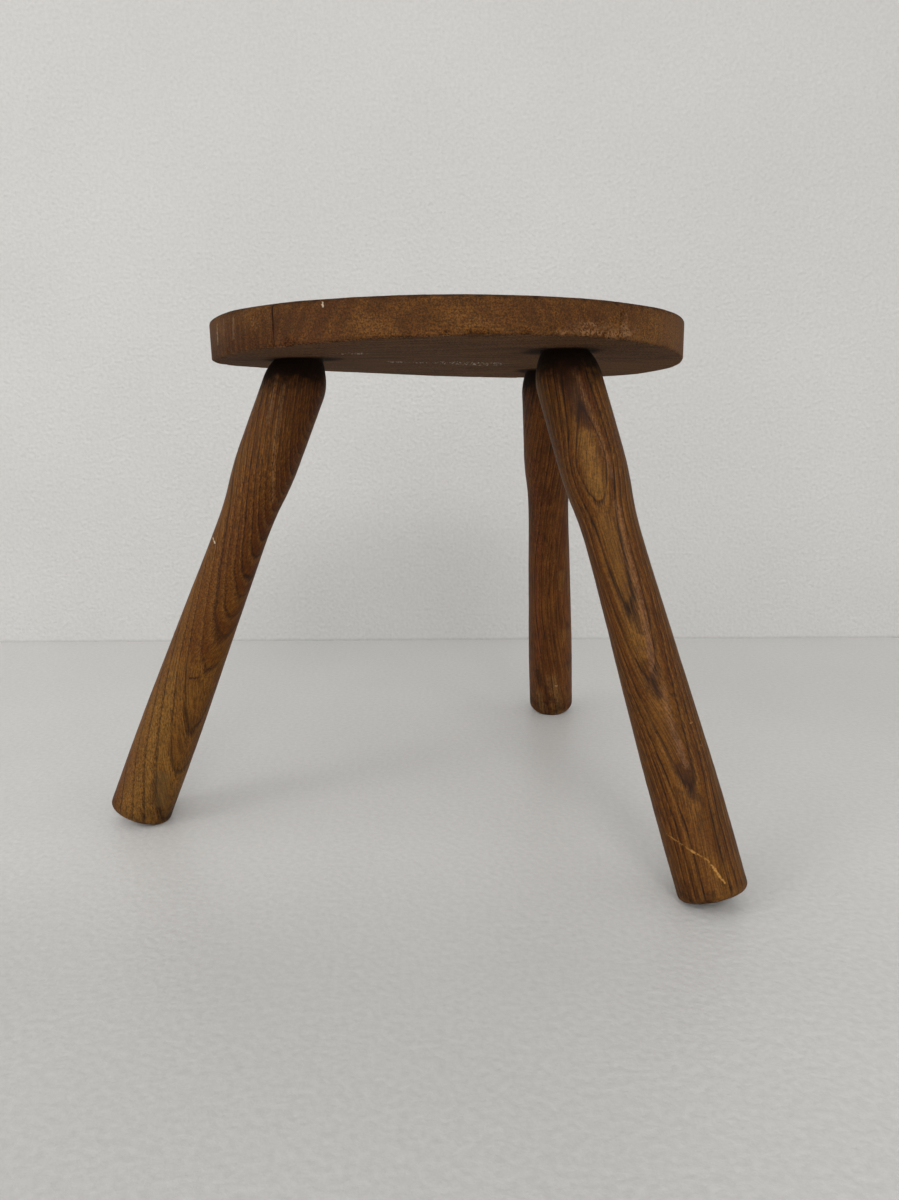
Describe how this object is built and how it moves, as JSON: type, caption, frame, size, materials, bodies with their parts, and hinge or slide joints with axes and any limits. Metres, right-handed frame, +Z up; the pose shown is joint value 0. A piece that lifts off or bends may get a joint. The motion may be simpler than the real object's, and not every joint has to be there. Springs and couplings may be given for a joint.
{
  "type": "milking stool",
  "caption": "Low wooden milking stool: round glued-up seat on splayed turned legs, which are tenoned through the seat and wedged.",
  "frame": {"origin": "on the floor, under the middle of the stool's box; the feet stand on z = 0", "axes": "+Z up, out of the seat's top; +X along the grain of the seat boards; the narrow seat board is towards -Y"},
  "size_m": [0.4114, 0.404, 0.3421],
  "materials": {
    "seat_wood": "worn satin wax, rim and top darkened by handling",
    "seat_front_wood": "worn satin wax, a little redder and darker than the large board",
    "leg_wood": "satin wax over turned wood with strong ring lines",
    "leg_wood_dark": "satin wax over darker turned wood",
    "wedge_wood": "end grain, worn flush with the seat"
  },
  "bodies": {
    "root": {"seat_board": "seat_wood", "seat_front_board": "seat_front_wood", "leg_left": "leg_wood", "leg_front": "leg_wood", "leg_back": "leg_wood_dark", "wedge_left": "wedge_wood", "wedge_front": "wedge_wood", "wedge_back": "wedge_wood"}
  },
  "joints": []
}
